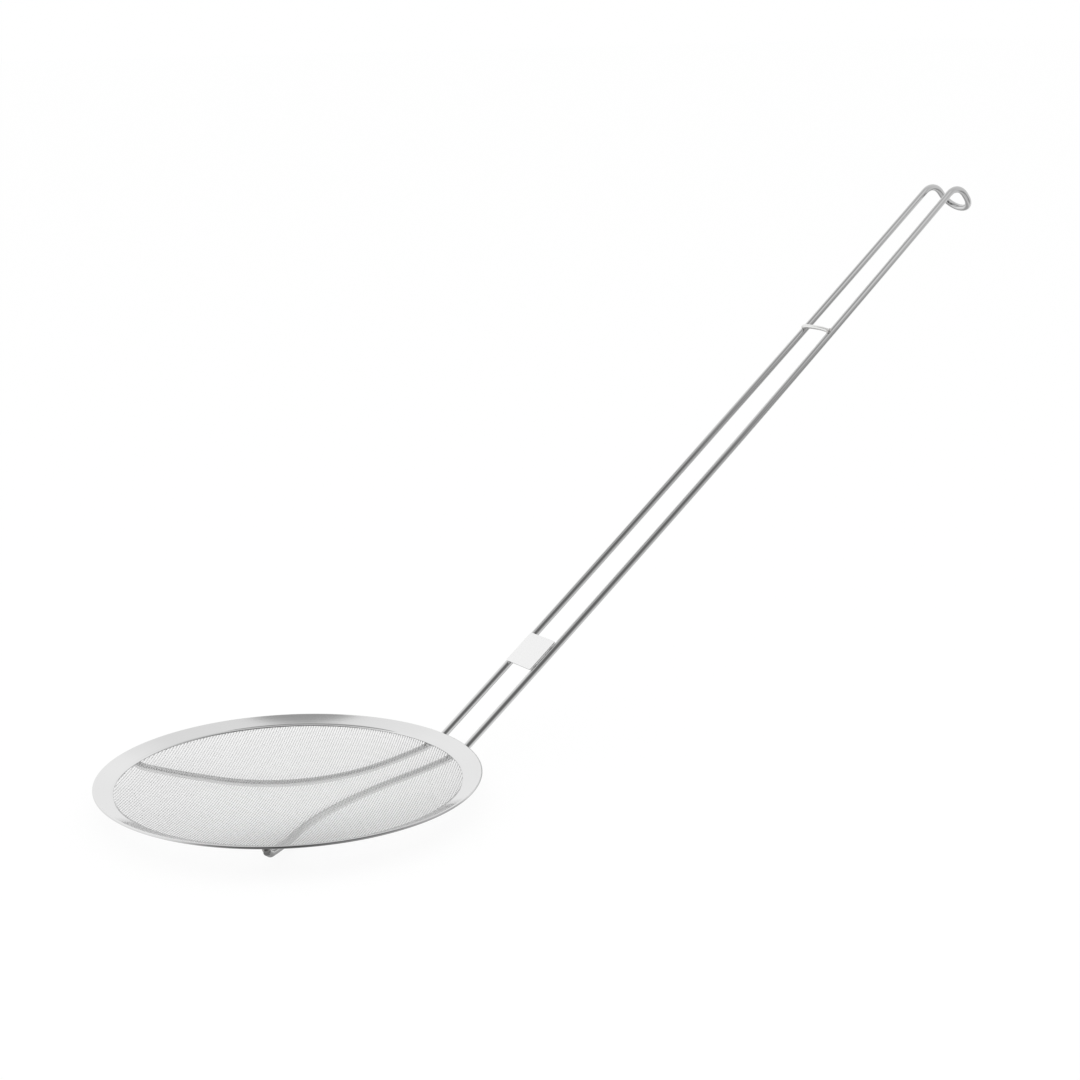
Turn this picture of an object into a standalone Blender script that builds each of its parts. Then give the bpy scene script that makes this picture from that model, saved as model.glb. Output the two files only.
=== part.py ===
"""A mesh skimmer: a shallow dish of steel mesh in a folded rim, on one long bent wire.

The model is in metres with +Z up. The rim lies level and the handle rises along +X.
Each piece is drawn about the centre of the rim's top outer edge. One empty then carries
them all to the origin, which is at the middle of the whole object's underside.
"""

import math

import bmesh
import bpy
from mathutils import Vector

# Rim: a strip of sheet folded over at its outer edge, so that two leaves clamp the mesh.
RIM_RADIUS = 0.0900
RIM_WIDTH = 0.0094
RIM_SLOPE = math.radians(20.0)
SHEET = 0.00045
LOWER_LEAF_SETBACK = 0.0010
RIM_STEPS = 88
FOLD_STEPS = 6

# Mesh: a dish with a flat edge between the leaves. Its gaps are drawn larger than life.
MESH_THICKNESS = 0.0004
MESH_DEPTH = 0.0081
MESH_BAR = 0.0010
MESH_PITCH = 0.00885
MESH_TURN = math.radians(45.0)
MESH_EDGE_SETBACK = 0.0015
MESH_EDGE_STEPS = 72

# Handle wire: both supports, both legs and the hook are one piece of round wire.
WIRE = 0.0035
LEG_HALF_SPACING = 0.01065
PARALLEL_LENGTH = 0.2156
HANDLE_LENGTH = 0.4018
HANDLE_RISE = math.radians(37.1)
HANDLE_BOW = math.radians(1.9)
HOOK_BEND_RADIUS = 0.0086
HOOK_BEND = math.radians(87.9)
HOOK_TIP_LENGTH = 0.0109
HOOK_HALF_WIDTH = 0.0091
ROOT_REACH = 0.0013
ROOT_BEND_RADIUS = 0.0060

# Supports: the wire runs straight in from the rim, curves outwards, and ends under the rim.
SUPPORT_STRAIGHT = 0.0318
SUPPORT_CURVE_RADIUS = 0.1100
SUPPORT_SPREAD = math.radians(44.0)
SUPPORT_END_SETBACK = 0.0040

# Small pieces across the legs, placed along the handle from its root.
PLATE_AT = 0.0593
PLATE_LENGTH = 0.0192
PLATE_INSET = 0.0002
PLATE_SHEET = 0.0006
PLATE_CORNER = 0.0010
CROSS_WIRE = 0.0022
CROSS_WIRE_AT = 0.2936
CROSS_WIRE_ARCH = 0.0006

# Gaps between pieces that touch, and between the mesh and the leaves that clamp it.
CONTACT_GAP = 0.0003
CLAMP_GAP = 0.0002

# How finely the round shapes are faceted.
WIRE_BEVEL_RESOLUTION = 3
CROSS_BEVEL_RESOLUTION = 2
STRAIGHT_STEP = 0.0300
SUPPORT_STEP = 0.0070
BEND_STEP = math.radians(10.0)
TIP_STEPS = 6
CROSS_STEPS = 10
CORNER_SEGMENTS = 4
SMOOTH_ANGLE = math.radians(40.0)

EDGE_RADIUS = MESH_THICKNESS / 2 + CLAMP_GAP + SHEET
FOLD_RADIUS = RIM_RADIUS - EDGE_RADIUS
INNER_RADIUS = RIM_RADIUS - RIM_WIDTH
LOWER_INNER_RADIUS = INNER_RADIUS + LOWER_LEAF_SETBACK
MESH_EDGE_RADIUS = RIM_RADIUS - MESH_EDGE_SETBACK
HOOK_BEND_LENGTH = HOOK_BEND_RADIUS * HOOK_BEND
HOOK_END = HANDLE_LENGTH + HOOK_BEND_LENGTH + HOOK_TIP_LENGTH
TIP_START = HOOK_END - HOOK_HALF_WIDTH


def clear_scene():
    for obj in list(bpy.data.objects):
        bpy.data.objects.remove(obj, do_unlink=True)


def steel(name, colour, roughness):
    """A bare metal with the piece's own colour and polish."""
    material = bpy.data.materials.new(name)
    material.use_nodes = True
    shader = material.node_tree.nodes["Principled BSDF"]
    shader.inputs["Base Color"].default_value = (*colour, 1.0)
    shader.inputs["Metallic"].default_value = 1.0
    shader.inputs["Roughness"].default_value = roughness
    return material


def add_piece(name, data, material, carrier):
    obj = bpy.data.objects.new(name, data)
    bpy.context.scene.collection.objects.link(obj)
    obj.data.materials.append(material)
    obj.parent = carrier
    return obj


def finished_mesh(bm, name):
    bmesh.ops.recalc_face_normals(bm, faces=bm.faces)
    mesh = bpy.data.meshes.new(name)
    bm.to_mesh(mesh)
    bm.free()
    mesh.shade_smooth()
    mesh.set_sharp_from_angle(angle=SMOOTH_ANGLE)
    return mesh


def round_wire(name, points, diameter, bevel_resolution):
    """Round wire along the points, cut square at both ends."""
    curve = bpy.data.curves.new(name, "CURVE")
    curve.dimensions = "3D"
    curve.bevel_depth = diameter / 2
    curve.bevel_resolution = bevel_resolution
    curve.use_fill_caps = True
    spline = curve.splines.new("POLY")
    spline.points.add(len(points) - 1)
    spline.use_smooth = True
    for place, point in zip(spline.points, points):
        place.co = (*point, 1.0)
    return curve


def even_steps(start, end, step):
    """Evenly spaced values after the start, up to and with the end, at most a step apart."""
    count = max(1, math.ceil((end - start) / step - 1e-6))
    return [start + (end - start) * index / count for index in range(1, count + 1)]


def walk(stretches, distance, heading):
    """Follows flat stretches of (length, turn) and gives the place and heading reached."""
    place = Vector((0.0, 0.0))
    for length, turn in stretches:
        part = min(distance, length)
        bend = turn * part / length
        chord = part * math.sin(bend / 2) / (bend / 2) if bend else part
        middle = heading + bend / 2
        place += chord * Vector((math.cos(middle), math.sin(middle)))
        heading += bend
        distance -= part
    return place, heading


def clamp_height(radius):
    """Height of the middle of the space between the rim's leaves."""
    return -EDGE_RADIUS - (FOLD_RADIUS - radius) * math.tan(RIM_SLOPE)


def bowl_height(radius, edge_radius, edge_height, depth):
    """A dish that hangs below its edge by the depth, as a parabola does."""
    return edge_height - depth * (1 - (radius / edge_radius) ** 2)


def mesh_height(radius):
    """Height of the middle of the mesh's thickness."""
    if radius >= INNER_RADIUS:
        return clamp_height(radius)
    return bowl_height(radius, INNER_RADIUS, clamp_height(INNER_RADIUS), MESH_DEPTH)


def support_height(radius):
    """Height of a support's centre, which touches the rim's lower leaf and then the dish."""
    under_leaf = (EDGE_RADIUS + CONTACT_GAP + WIRE / 2) / math.cos(RIM_SLOPE)
    if radius >= LOWER_INNER_RADIUS:
        return clamp_height(radius) - under_leaf
    edge = clamp_height(LOWER_INNER_RADIUS) - under_leaf
    middle = mesh_height(0.0) - MESH_THICKNESS / 2 - CONTACT_GAP - WIRE / 2
    return bowl_height(radius, LOWER_INNER_RADIUS, edge, edge - middle)


def support_point(x, y):
    return Vector((x, y, support_height(math.hypot(x, y))))


def root_corner():
    """Where the middle lines of the legs and of the supports would meet without a bend."""
    x = RIM_RADIUS + ROOT_REACH
    return Vector((x, 0.0, support_point(x, LEG_HALF_SPACING).z))


def root_bend():
    """The turn of the wire at the root, the slope it starts from, and its tangent length."""
    corner = root_corner()
    inside = support_point(corner.x - ROOT_BEND_RADIUS, LEG_HALF_SPACING)
    slope = math.atan2(corner.z - inside.z, ROOT_BEND_RADIUS)
    turn = HANDLE_RISE - slope
    return turn, slope, ROOT_BEND_RADIUS * math.tan(turn / 2)


def handle_place(distance):
    """A point midway between the legs, and how steeply the handle rises there."""
    stretches = (
        (HANDLE_LENGTH, HANDLE_BOW),
        (HOOK_BEND_LENGTH, -HOOK_BEND),
        (HOOK_TIP_LENGTH, 0.0),
    )
    place, rise = walk(stretches, distance, HANDLE_RISE)
    return root_corner() + Vector((place.x, 0.0, place.y)), rise


def half_spacing(distance):
    """Half the distance between the legs' centres, which narrows towards the hook."""
    share = (distance - PARALLEL_LENGTH) / (TIP_START - PARALLEL_LENGTH)
    return LEG_HALF_SPACING + (HOOK_HALF_WIDTH - LEG_HALF_SPACING) * min(max(share, 0.0), 1.0)


def support_points():
    """The left support, from its cut end under the rim to just short of the root bend."""
    curve = SUPPORT_CURVE_RADIUS * SUPPORT_SPREAD
    bent = ((SUPPORT_STRAIGHT, 0.0), (curve, SUPPORT_SPREAD))
    corner = Vector((root_corner().x, LEG_HALF_SPACING))

    def plan(stretches, distance):
        place, heading = walk(stretches, distance, 0.0)
        return corner + Vector((-place.x, place.y)), Vector((-math.cos(heading), math.sin(heading)))

    place, direction = plan(bent, SUPPORT_STRAIGHT + curve)
    along = place.dot(direction)
    end_radius = RIM_RADIUS - SUPPORT_END_SETBACK
    run_out = math.sqrt(along**2 + end_radius**2 - place.length_squared) - along
    whole = (*bent, (run_out, 0.0))
    points = []
    for distance in even_steps(0.0, SUPPORT_STRAIGHT + curve + run_out, SUPPORT_STEP):
        place, _ = plan(whole, distance)
        points.append(support_point(place.x, place.y))
    return points[::-1]


def root_points():
    """The bend that lifts the wire from under the rim into the left leg."""
    turn, slope, tangent = root_bend()
    start = root_corner() - tangent * Vector((math.cos(slope), 0.0, math.sin(slope)))
    points = []
    for angle in [0.0, *even_steps(0.0, turn, BEND_STEP)]:
        place, _ = walk([(ROOT_BEND_RADIUS * turn, turn)], ROOT_BEND_RADIUS * angle, slope)
        points.append(start + Vector((place.x, LEG_HALF_SPACING, place.y)))
    return points


def leg_points():
    """The left leg after the root bend, with its half of the hook."""
    _, _, tangent = root_bend()
    distances = even_steps(tangent, HANDLE_LENGTH, STRAIGHT_STEP)
    bend_step = HOOK_BEND_RADIUS * BEND_STEP
    distances += even_steps(HANDLE_LENGTH, HANDLE_LENGTH + HOOK_BEND_LENGTH, bend_step)
    points = []
    for distance in distances:
        place, _ = handle_place(distance)
        points.append(place + Vector((0.0, half_spacing(distance), 0.0)))
    for step in range(TIP_STEPS + 1):
        angle = math.pi / 2 * step / TIP_STEPS
        place, _ = handle_place(TIP_START + HOOK_HALF_WIDTH * math.sin(angle))
        points.append(place + Vector((0.0, HOOK_HALF_WIDTH * math.cos(angle), 0.0)))
    return points


def handle_wire_points():
    left = support_points() + root_points() + leg_points()
    right = [Vector((point.x, -point.y, point.z)) for point in left[-2::-1]]
    return left + right


def rim_profile():
    """Section of the folded strip as (radius, height) corners, all the way round it."""

    def leaf_end(side, distance, radius):
        return radius, clamp_height(radius) + side * distance / math.cos(RIM_SLOPE)

    def fold(distance, side):
        points = []
        for step in range(FOLD_STEPS + 1):
            angle = RIM_SLOPE + side * math.pi * (0.5 - step / FOLD_STEPS)
            points.append(
                (FOLD_RADIUS + distance * math.cos(angle), -EDGE_RADIUS + distance * math.sin(angle))
            )
        return points

    inside = EDGE_RADIUS - SHEET
    return [
        leaf_end(1, EDGE_RADIUS, INNER_RADIUS),
        *fold(EDGE_RADIUS, 1),
        leaf_end(-1, EDGE_RADIUS, LOWER_INNER_RADIUS),
        leaf_end(-1, inside, LOWER_INNER_RADIUS),
        *fold(inside, -1),
        leaf_end(1, inside, INNER_RADIUS),
    ]


def make_rim_band(carrier):
    bm = bmesh.new()
    corners = [bm.verts.new((radius, 0.0, height)) for radius, height in rim_profile()]
    edges = [bm.edges.new((corners[index - 1], corner)) for index, corner in enumerate(corners)]
    bmesh.ops.spin(
        bm,
        geom=corners + edges,
        cent=(0.0, 0.0, 0.0),
        axis=(0.0, 0.0, 1.0),
        angle=2 * math.pi,
        steps=RIM_STEPS,
        use_merge=True,
    )
    material = steel("rim_steel", (0.72, 0.72, 0.71), 0.16)
    return add_piece("rim_band", finished_mesh(bm, "rim_band"), material, carrier)


def score_weave(bm):
    """Cuts the disc's faces along the two crossing sets of mesh wires."""
    count = math.floor(INNER_RADIUS / MESH_PITCH)
    for turn in (MESH_TURN, MESH_TURN + math.pi / 2):
        across = Vector((math.cos(turn), math.sin(turn), 0.0))
        for index in range(-count, count + 1):
            bmesh.ops.bisect_plane(
                bm,
                geom=bm.verts[:] + bm.edges[:] + bm.faces[:],
                dist=1e-7,
                plane_co=across * (index * MESH_PITCH),
                plane_no=across,
            )


def open_gaps(bm):
    """Opens each face inside a border of half a bar. Scraps too small for a gap stay shut."""
    wide = [face for face in bm.faces if 2 * face.calc_area() / face.calc_perimeter() > MESH_BAR]
    bmesh.ops.inset_individual(bm, faces=wide, thickness=MESH_BAR / 2, use_even_offset=True)
    bmesh.ops.delete(bm, geom=wide, context="FACES")


def add_clamped_edge(bm):
    """Carries the disc's outer edge out between the rim's leaves."""
    inside_disc = INNER_RADIUS - MESH_BAR / 4
    outer = [e for e in bm.edges if e.is_boundary and all(v.co.length > inside_disc for v in e.verts)]
    made = bmesh.ops.extrude_edge_only(bm, edges=outer)
    for vert in made["geom"]:
        if isinstance(vert, bmesh.types.BMVert):
            vert.co = vert.co.normalized() * MESH_EDGE_RADIUS


def make_mesh_dish(carrier):
    bm = bmesh.new()
    bmesh.ops.create_circle(bm, cap_ends=True, segments=MESH_EDGE_STEPS, radius=INNER_RADIUS)
    score_weave(bm)
    open_gaps(bm)
    add_clamped_edge(bm)
    for vert in bm.verts:
        vert.co.z = mesh_height(vert.co.xy.length)
    material = steel("mesh_steel", (0.62, 0.62, 0.61), 0.30)
    dish = add_piece("mesh_dish", finished_mesh(bm, "mesh_dish"), material, carrier)
    thickness = dish.modifiers.new("thickness", "SOLIDIFY")
    thickness.thickness = MESH_THICKNESS
    thickness.offset = 0.0
    return dish


def make_handle_wire(carrier):
    curve = round_wire("handle_wire", handle_wire_points(), WIRE, WIRE_BEVEL_RESOLUTION)
    material = steel("wire_steel", (0.60, 0.60, 0.59), 0.22)
    return add_piece("handle_wire", curve, material, carrier)


def lay_on_legs(obj, distance, thickness):
    """Lays a piece on top of the legs, with its X along them and its Z square to them."""
    place, rise = handle_place(distance)
    lift = WIRE / 2 + CONTACT_GAP + thickness / 2
    obj.location = place + lift * Vector((-math.sin(rise), 0.0, math.cos(rise)))
    obj.rotation_euler = (0.0, -rise, 0.0)


def make_cross_wire(carrier):
    """A thin wire that arches a little between its welds to the legs."""
    half = half_spacing(CROSS_WIRE_AT)
    points = []
    for across in [-1.0, *even_steps(-1.0, 1.0, 2 / CROSS_STEPS)]:
        points.append(Vector((0.0, half * across, CROSS_WIRE_ARCH * (1 - across**2))))
    curve = round_wire("cross_wire", points, CROSS_WIRE, CROSS_BEVEL_RESOLUTION)
    obj = add_piece("cross_wire", curve, steel("cross_steel", (0.75, 0.75, 0.74), 0.14), carrier)
    lay_on_legs(obj, CROSS_WIRE_AT, CROSS_WIRE)
    return obj


def make_handle_plate(carrier):
    bm = bmesh.new()
    bmesh.ops.create_cube(bm, size=1.0)
    width = 2 * (half_spacing(PLATE_AT) - PLATE_INSET)
    bmesh.ops.scale(bm, vec=(PLATE_LENGTH, width, PLATE_SHEET), verts=bm.verts)
    corners = [e for e in bm.edges if abs(e.verts[0].co.z - e.verts[1].co.z) > PLATE_SHEET / 2]
    bmesh.ops.bevel(
        bm,
        geom=corners,
        offset=PLATE_CORNER,
        segments=CORNER_SEGMENTS,
        profile=0.5,
        affect="EDGES",
    )
    material = steel("plate_steel", (0.80, 0.80, 0.79), 0.30)
    obj = add_piece("handle_plate", finished_mesh(bm, "handle_plate"), material, carrier)
    lay_on_legs(obj, PLATE_AT, PLATE_SHEET)
    return obj


def make_carrier():
    """The empty that moves the model's origin to the middle of its underside."""
    wire = handle_wire_points()
    furthest = max(point.x for point in wire) + WIRE / 2
    lowest = min(point.z for point in wire) - WIRE / 2
    carrier = bpy.data.objects.new("skimmer", None)
    bpy.context.scene.collection.objects.link(carrier)
    carrier.location = ((RIM_RADIUS - furthest) / 2, 0.0, -lowest)
    return carrier


def main():
    clear_scene()
    carrier = make_carrier()
    make_rim_band(carrier)
    make_mesh_dish(carrier)
    make_handle_wire(carrier)
    make_cross_wire(carrier)
    make_handle_plate(carrier)


main()
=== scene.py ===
# %% [markdown]
# # A mesh skimmer in bare steel
#
# The object is a kitchen skimmer: a shallow dish of woven wire, held in a folded sheet rim, on a
# handle that is bent from one long wire. Its model is already built and fixed in place. This file
# makes what an eye sees on it: true round wires, a real weave, soft folds, welds, and a finish of
# its own for each kind of steel.
#
# Everything is in metres. The first cell loads the fixed model and keeps its outer box, so that
# the last cell can show that the dressed object is no larger.

import math

import bmesh
import bpy
import numpy as np
from mathutils import Matrix, Vector, noise


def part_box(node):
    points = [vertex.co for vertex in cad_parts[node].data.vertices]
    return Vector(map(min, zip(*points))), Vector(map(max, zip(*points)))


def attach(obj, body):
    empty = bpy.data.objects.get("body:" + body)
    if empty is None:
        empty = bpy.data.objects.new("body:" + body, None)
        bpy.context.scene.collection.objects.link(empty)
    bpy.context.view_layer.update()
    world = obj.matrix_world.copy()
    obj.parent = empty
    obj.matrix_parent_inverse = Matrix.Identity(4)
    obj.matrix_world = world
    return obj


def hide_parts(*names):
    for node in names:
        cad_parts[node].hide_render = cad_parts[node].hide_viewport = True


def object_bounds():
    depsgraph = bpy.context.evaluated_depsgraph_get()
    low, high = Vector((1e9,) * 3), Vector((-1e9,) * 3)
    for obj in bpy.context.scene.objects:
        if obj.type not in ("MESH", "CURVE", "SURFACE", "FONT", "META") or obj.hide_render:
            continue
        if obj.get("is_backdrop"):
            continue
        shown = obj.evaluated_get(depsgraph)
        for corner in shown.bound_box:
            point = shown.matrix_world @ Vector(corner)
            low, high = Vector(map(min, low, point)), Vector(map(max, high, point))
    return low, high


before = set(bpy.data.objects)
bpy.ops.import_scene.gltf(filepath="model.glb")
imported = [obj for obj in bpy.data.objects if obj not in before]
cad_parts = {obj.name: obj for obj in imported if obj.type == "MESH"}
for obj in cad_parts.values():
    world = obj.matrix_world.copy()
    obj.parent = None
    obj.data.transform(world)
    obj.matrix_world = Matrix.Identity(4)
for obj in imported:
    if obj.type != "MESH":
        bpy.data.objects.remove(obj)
fixed_box = [list(corner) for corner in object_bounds()]
print("pieces of the fixed model:", sorted(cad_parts))

# %% [markdown]
# ## Where things are
#
# Every piece of a skimmer is set out from its rim, so a point is easiest to give from the middle
# of the rim's top edge. The rim's box in the fixed model says where that middle lies. Most sizes
# below are the ones that the fixed pieces were built from, and where a dressed piece differs, the
# words before its cell say so.

# %% The middle of the rim
MM = 0.001
rim_low, rim_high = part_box("rim_band")
RIM_RADIUS = 90.0 * MM
rim_middle = Vector(((rim_low.x + rim_high.x) / 2, 0.0, rim_high.z))
print("rim middle:", tuple(round(value, 5) for value in rim_middle))
print("rim radius in the fixed model:", round((rim_high.x - rim_low.x) / 2, 5))

# %% [markdown]
# ## The camera
#
# The skimmer is seen from the left and a little above, with a lens long enough to keep the far
# end of the handle nearly as large as the near end. The camera's place and its three directions
# were found by fitting the rim's ellipse, the two legs and the hook at once. They are written as
# a place and as angles, because a reader can check an angle by eye.

# %% Set the camera
CAMERA_FROM_RIM = Vector((-0.44896, -0.85698, 0.34630))
CAMERA_TURN = math.radians(34.66)
CAMERA_TILT = math.radians(13.79)
CAMERA_ROLL = math.radians(-0.71)
LENS_MM = 72.743
SENSOR_MM = 36.0

camera_data = bpy.data.cameras.new("camera")
camera_data.lens = LENS_MM
camera_data.sensor_width = SENSOR_MM
camera = bpy.data.objects.new("camera", camera_data)
bpy.context.scene.collection.objects.link(camera)
bpy.context.scene.camera = camera
looking_level = Matrix.Rotation(-CAMERA_TURN, 4, "Z") @ Matrix.Rotation(math.pi / 2 - CAMERA_TILT, 4, "X")
camera.matrix_world = (
    Matrix.Translation(rim_middle + CAMERA_FROM_RIM) @ looking_level @ Matrix.Rotation(CAMERA_ROLL, 4, "Z")
)
bpy.context.view_layer.update()
print("camera looks along", tuple(round(-value, 4) for value in camera.matrix_world.col[2][:3]))

# %% [markdown]
# ## A small language for finishes
#
# A finish is a tree of shader nodes. Wiring one by hand takes four lines for every sum, and the
# sums disappear among them. Here a `Signal` stands for one output of a node, and `+`, `-` and `*`
# on it add the Math nodes, so a finish can be read as a formula. Every other node comes from
# `Finish.node`, which takes the node's type, its settings and what goes into its sockets.

# %% Signals and finishes
class Signal:
    """One output of a node. Arithmetic on it adds Math nodes to its finish."""

    def __init__(self, finish, socket):
        self.finish = finish
        self.socket = socket

    def maths(self, operation, left, right):
        return self.finish.node("ShaderNodeMath", {"operation": operation}, {0: left, 1: right})

    def __add__(self, other):
        return self.maths("ADD", self, other)

    def __radd__(self, other):
        return self.maths("ADD", other, self)

    def __sub__(self, other):
        return self.maths("SUBTRACT", self, other)

    def __rsub__(self, other):
        return self.maths("SUBTRACT", other, self)

    def __mul__(self, other):
        return self.maths("MULTIPLY", self, other)

    def __rmul__(self, other):
        return self.maths("MULTIPLY", other, self)

    def at_most(self, other):
        return self.maths("MINIMUM", self, other)

    def at_least(self, other):
        return self.maths("MAXIMUM", self, other)


class Finish:
    """The node tree of one material or of the world."""

    def __init__(self, owner):
        owner.use_nodes = True
        self.tree = owner.node_tree
        self.tree.nodes.clear()

    def node(self, kind, settings=None, inputs=None, output=0):
        made = self.tree.nodes.new(kind)
        for name, value in (settings or {}).items():
            setattr(made, name, value)
        for name, value in (inputs or {}).items():
            if isinstance(value, Signal):
                self.tree.links.new(value.socket, made.inputs[name])
            else:
                made.inputs[name].default_value = value
        return Signal(self, made.outputs[output]) if made.outputs else made


# %% [markdown]
# ## White all round
#
# The background is as white as paper. It comes from the colour of the world, at a strength of 1,
# and so does the even light on the floor. The steel doesn't mirror this world but the tent that
# follows, so the world is hidden from mirror-like rays.

# %% The world
WHITE = (1.0, 1.0, 1.0, 1.0)

world = bpy.data.worlds.new("studio")
bpy.context.scene.world = world
room = Finish(world)
light = room.node("ShaderNodeBackground", inputs={"Color": WHITE, "Strength": 1.0})
room.node("ShaderNodeOutputWorld", inputs={"Surface": light})
world.cycles_visibility.glossy = False
bpy.context.scene.view_settings.view_transform = "Standard"
print("the world shines", WHITE[:3], "at a strength of 1")

# %% [markdown]
# ## A light tent
#
# Bare steel has almost no look of its own: it shows the room. Shiny things are therefore
# photographed in a tent of white cloth, and the dark part of it is the opening on the camera's
# side. That would explain this object's tones. Every round wire carries a dark core where it
# mirrors the opening. The flat rim and the plate mirror the bright far side, so they are pale.
#
# A tent is never even, and steel shows that too. The photo shows only the tones in the steel, so
# each patch below stands where those tones ask for it, and its name is a guess at what it was.
# The seam gives the rim its one grey patch, and the fold makes the back of the rim and the plate
# a little duller. The lamp lights the top of the handle, between two flaps that line its wires
# with grey. The table's edge darkens the rim's fold at the front, and the far corner greys the
# right edge of each leg. Every patch is round and has a soft edge.
#
# The tent is a ball of light that only mirror-like rays can see. It stands close, so the legs show
# less of the opening the higher they rise. A picture of a room at an endless distance, which is
# the usual way, can't do that.

# %% The tent
TENT_RADIUS = 0.50
TENT_FROM_RIM = Vector((0.06, 0.0, 0.02))
HORIZON_TONE = 0.90
HORIZON_TOP = 0.45

# Each patch: level turn and rise of its middle, angles of its inner and outer edge, all in
# degrees, and the tones at those two edges.
OPENING = (266.0, 36.0, 16.0, 90.0, 0.0, 1.11)
LAMP_BEHIND_CLOTH = (335.0, 47.0, 8.0, 26.0, 0.90, 0.20)
SEAM = (85.0, 60.0, 11.9, 12.5, 0.42, 1.0)
FOLD = (62.0, 48.0, 6.0, 16.0, 0.88, 1.0)
SIDE_FLAP = (341.0, 7.0, 7.0, 18.0, 0.45, 1.0)
TOP_FLAP = (12.0, 63.0, 8.0, 20.0, 0.72, 1.0)
TABLE_EDGE = (220.0, 10.0, 22.0, 38.0, 0.20, 1.0)
FAR_CORNER = (24.0, -12.0, 14.0, 36.0, 0.50, 1.0)
DULL_PATCHES = (SEAM, FOLD, SIDE_FLAP, TOP_FLAP, TABLE_EDGE, FAR_CORNER)


def round_patch(finish, outwards, patch):
    """The tone of a round patch of the tent, which changes evenly between its two edges."""
    turn, rise, inner, outer = (math.radians(value) for value in patch[:4])
    middle = (math.cos(rise) * math.cos(turn), math.cos(rise) * math.sin(turn), math.sin(rise))
    towards = finish.node(
        "ShaderNodeVectorMath", {"operation": "DOT_PRODUCT"}, {0: outwards, 1: middle}, "Value"
    )
    angle = finish.node("ShaderNodeMath", {"operation": "ARCCOSINE"}, {0: towards})
    between = {"From Min": inner, "From Max": outer, "To Min": patch[4], "To Max": patch[5]}
    return finish.node("ShaderNodeMapRange", inputs={"Value": angle, **between})


def tent_tone(finish, place):
    """How bright the tent is at a place that is given from its middle."""
    outwards = finish.node("ShaderNodeVectorMath", {"operation": "NORMALIZE"}, {0: place})
    height = finish.node("ShaderNodeSeparateXYZ", inputs={0: outwards}, output="Z")
    between = {"From Min": 0.0, "From Max": HORIZON_TOP, "To Min": HORIZON_TONE, "To Max": 1.0}
    above_horizon = finish.node("ShaderNodeMapRange", inputs={"Value": height, **between})
    cloth = round_patch(finish, outwards, OPENING) * above_horizon
    tone = cloth.at_least(round_patch(finish, outwards, LAMP_BEHIND_CLOTH))
    for patch in DULL_PATCHES:
        tone = tone * round_patch(finish, outwards, patch)
    return tone


def tent_finish():
    material = bpy.data.materials.new("tent_cloth")
    finish = Finish(material)
    place = finish.node("ShaderNodeTexCoord", output="Object")
    glow = finish.node("ShaderNodeEmission", inputs={"Color": tent_tone(finish, place), "Strength": 1.0})
    finish.node("ShaderNodeOutputMaterial", inputs={"Surface": glow})
    material.cycles.emission_sampling = "NONE"
    return material


def make_tent():
    bm = bmesh.new()
    bmesh.ops.create_icosphere(bm, subdivisions=5, radius=TENT_RADIUS)
    mesh = bpy.data.meshes.new("tent")
    bm.to_mesh(mesh)
    bm.free()
    mesh.materials.append(tent_finish())
    tent = bpy.data.objects.new("tent", mesh)
    tent.location = rim_middle + TENT_FROM_RIM
    bpy.context.scene.collection.objects.link(tent)
    for kind in ("camera", "diffuse", "transmission", "volume_scatter", "shadow"):
        setattr(tent, "visible_" + kind, False)
    tent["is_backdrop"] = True


make_tent()
print("the tent is", 2 * TENT_RADIUS, "m across")

# %% [markdown]
# ## The floor
#
# The floor has to be as white as the paper of a catalogue and still hold a trace of shadow, or
# the skimmer seems to float. Most of what the camera sees of it is a white glow, and the rest is
# plain matt white that the dish can shade. The steel mirrors it with the tent's own tones, as if
# the cloth went on under the object, or a bright line would run along every wire.

# %% The floor
FLOOR_SIZE = 30.0
FLOOR_GLOW = 0.88
FLOOR_WHITE = 0.97


def floor_finish():
    material = bpy.data.materials.new("studio_floor")
    finish = Finish(material)
    to_eye = finish.node("ShaderNodeLightPath", output="Is Camera Ray")
    to_steel = finish.node("ShaderNodeLightPath", output="Is Glossy Ray")
    through = finish.node("ShaderNodeLightPath", output="Is Transmission Ray")
    glow = ((to_eye + through) * FLOOR_GLOW + to_steel).at_most(1.0)
    paper = (FLOOR_WHITE, FLOOR_WHITE, FLOOR_WHITE, 1.0)
    matt = finish.node("ShaderNodeBsdfDiffuse", inputs={"Color": paper})
    place = finish.node("ShaderNodeTexCoord", output="Object")
    from_tent = finish.node(
        "ShaderNodeVectorMath", {"operation": "SUBTRACT"}, {0: place, 1: rim_middle + TENT_FROM_RIM}
    )
    colour = finish.node(
        "ShaderNodeMix",
        {"data_type": "RGBA"},
        {"Factor": to_steel, "A": WHITE, "B": tent_tone(finish, from_tent)},
        output="Result",
    )
    white = finish.node("ShaderNodeEmission", inputs={"Color": colour, "Strength": 1.0})
    mixed = finish.node("ShaderNodeMixShader", inputs={0: glow, 1: matt, 2: white})
    finish.node("ShaderNodeOutputMaterial", inputs={"Surface": mixed})
    material.cycles.emission_sampling = "NONE"
    return material


floor_mesh = bpy.data.meshes.new("floor")
half = FLOOR_SIZE / 2
floor_corners = [(x * half, y * half, 0.0) for x, y in ((-1, -1), (1, -1), (1, 1), (-1, 1))]
floor_mesh.from_pydata(floor_corners, [], [(0, 1, 2, 3)])
floor_mesh.materials.append(floor_finish())
floor = bpy.data.objects.new("floor", floor_mesh)
bpy.context.scene.collection.objects.link(floor)
floor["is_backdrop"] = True
print("the floor is", FLOOR_SIZE, "m across and glows by", FLOOR_GLOW)

# %% [markdown]
# ## One soft lamp
#
# The world alone lights the floor evenly. One large, weak lamp in front and to the left gives the
# shadow a direction. It would show as a square in the wires, so the steel doesn't mirror it.

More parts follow.
